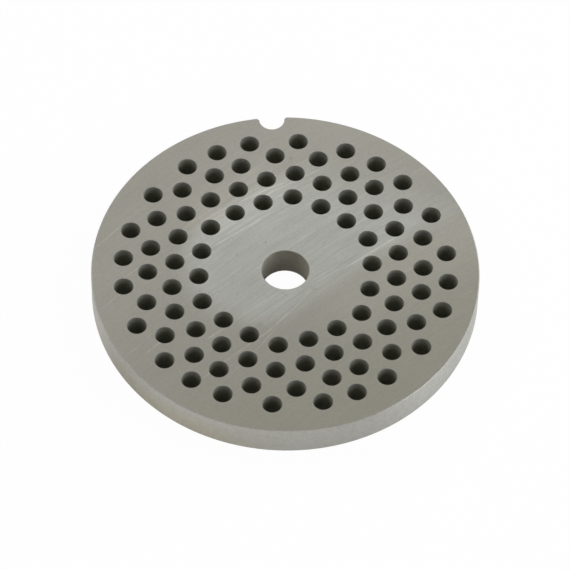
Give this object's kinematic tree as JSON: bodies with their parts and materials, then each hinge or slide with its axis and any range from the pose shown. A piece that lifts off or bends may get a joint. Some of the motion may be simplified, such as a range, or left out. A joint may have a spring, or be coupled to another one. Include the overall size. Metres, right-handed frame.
{
  "type": "meat grinder plate",
  "caption": "Flat round steel plate full of small drilled holes, with a centre bore for the spindle and a half-round locating notch in the rim; meat is pressed through it and cut by a knife.",
  "frame": {"origin": "centre of the spindle bore on the lower ground face", "axes": "+Z along the bore, out of the upper face; +Y from the bore to the locating notch"},
  "size_m": [0.062, 0.0619, 0.0055],
  "materials": {
    "ground_steel": "ground faces with fine curved grinding lines, satin turned rim, dull drilled holes"
  },
  "bodies": {
    "root": {"grinder_plate": "ground_steel"}
  },
  "joints": []
}
